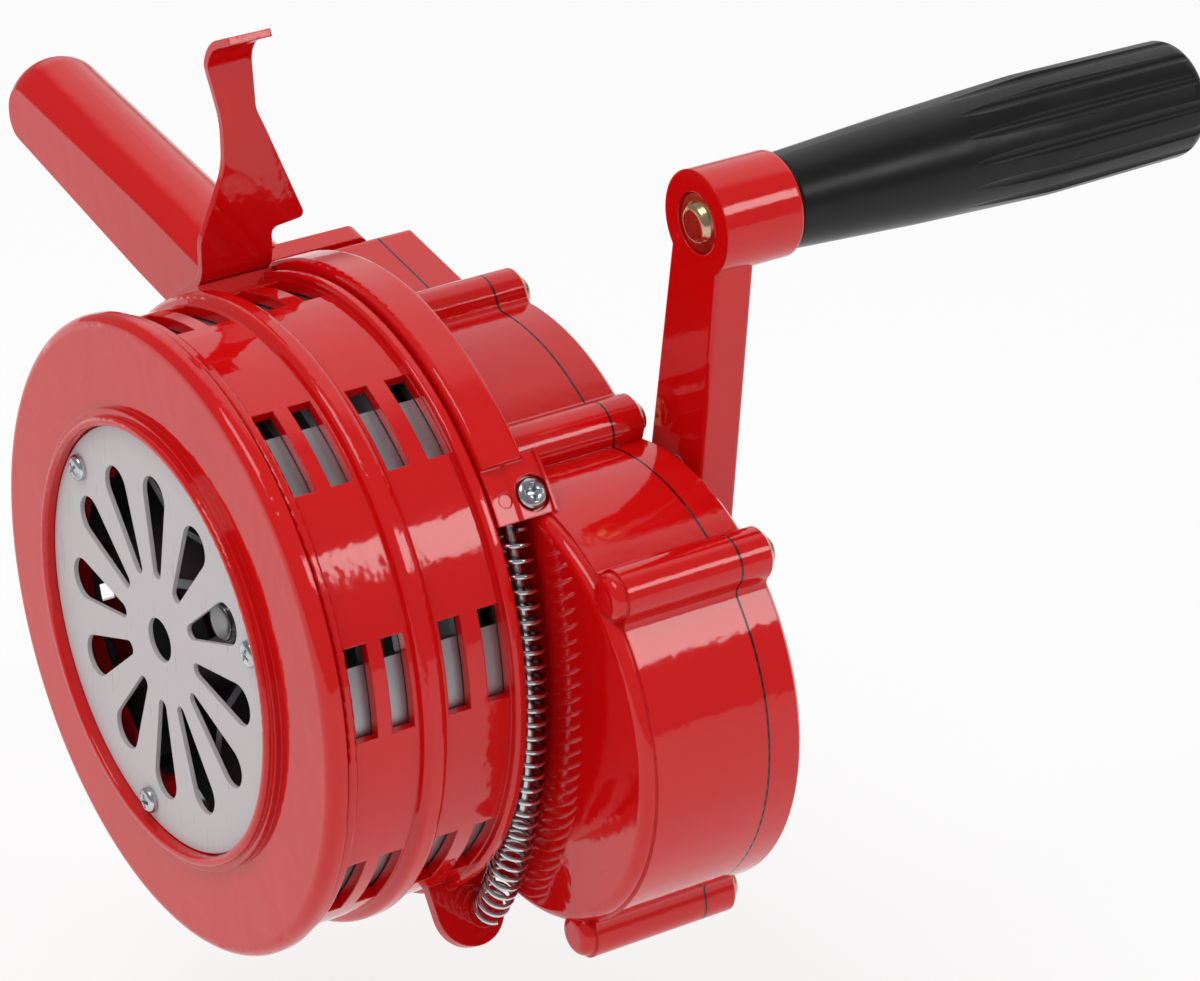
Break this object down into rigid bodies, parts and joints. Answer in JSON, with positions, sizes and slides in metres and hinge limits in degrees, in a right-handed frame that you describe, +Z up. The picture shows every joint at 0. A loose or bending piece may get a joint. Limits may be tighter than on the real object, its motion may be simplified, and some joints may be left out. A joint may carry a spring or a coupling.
{
  "type": "hand crank siren",
  "caption": "Hand-cranked air siren: a red drum with shuttered air ports and a slotted intake guard, a gear case behind it, a crank handle, a pistol grip and a sprung trigger lever.",
  "frame": {"origin": "on the drum axis, in the plane of the front cover's flat face, at the foot of the intake collar", "axes": "+Y along the drum axis from the intake to the crank; +Z up, towards the trigger lever's tip; +X away from the pistol grip"},
  "size_m": [0.2941, 0.2605, 0.2177],
  "materials": {
    "red_enamel": "glossy stove enamel on cast and pressed metal",
    "grey_guard": "matt light grey sheet",
    "bare_aluminium": "turned, bare",
    "zinc_steel": "bright zinc plate",
    "yellow_zinc": "yellow zinc plate",
    "spring_steel": "bright drawn wire",
    "machined_steel": "machined, oiled",
    "bronze": "sintered",
    "black_plastic": "moulded, glossy"
  },
  "bodies": {
    "body": {"front_cover": "red_enamel", "intake_guard": "grey_guard", "guard_screws": "zinc_steel", "stator": "bare_aluminium", "stator_screws": "zinc_steel", "gear_housing": "red_enamel", "rear_cover": "red_enamel", "cover_screws": "yellow_zinc", "anchor_screw": "zinc_steel", "anchor_pin": "red_enamel", "spring_guide_rod": "zinc_steel", "return_spring": "spring_steel", "pistol_grip": "red_enamel", "grip_screws": "zinc_steel", "front_bearing": "machined_steel", "rear_bearing": "machined_steel", "front_bush": "bronze", "rear_bush": "bronze", "idler_shaft": "machined_steel"},
    "shutter": {"shutter_ring": "red_enamel", "trigger_lever": "red_enamel", "lever_rivets": "red_enamel"},
    "rotor": {"rotor": "bare_aluminium", "rotor_shaft": "machined_steel", "rotor_nut": "zinc_steel", "rotor_pinion": "machined_steel"},
    "idler": {"idler_gear": "machined_steel"},
    "crank": {"crank_shaft": "machined_steel", "drive_gear": "machined_steel", "crank_arm": "red_enamel", "crank_nut": "zinc_steel", "handle_pin": "yellow_zinc", "pin_washer": "yellow_zinc"},
    "crank_grip": {"crank_grip": "black_plastic"}
  },
  "joints": [
    {"name": "crank_turn", "type": "hinge", "parent": "body", "child": "crank", "pos_m": [0.046, 0.118, -0.0095], "axis": [0, 1, 0], "continuous": true},
    {"name": "crank_grip_spin", "type": "hinge", "parent": "crank", "child": "crank_grip", "pos_m": [0.06029, 0.19, 0.1036], "axis": [0, 1, 0], "continuous": true},
    {"name": "idler_spin", "type": "hinge", "parent": "body", "child": "idler", "pos_m": [0.01576, 0.08, 0.02314], "axis": [0, 1, 0], "continuous": true},
    {"name": "rotor_spin", "type": "hinge", "parent": "body", "child": "rotor", "pos_m": [0, 0.03, 0], "axis": [0, 1, 0], "continuous": true},
    {"name": "shutter_turn", "type": "hinge", "parent": "body", "child": "shutter", "pos_m": [0, 0.03, 0], "axis": [0, -1, 0], "range_deg": [0, 13.3], "stiffness_Nm_per_rad": 0.8, "springref_deg": -34.38, "deforming": ["return_spring"]}
  ],
  "couplings": [
    {"joint": "idler_spin", "follows": "crank_turn", "ratio": -5.8462},
    {"joint": "rotor_spin", "follows": "crank_turn", "ratio": 23.385}
  ]
}
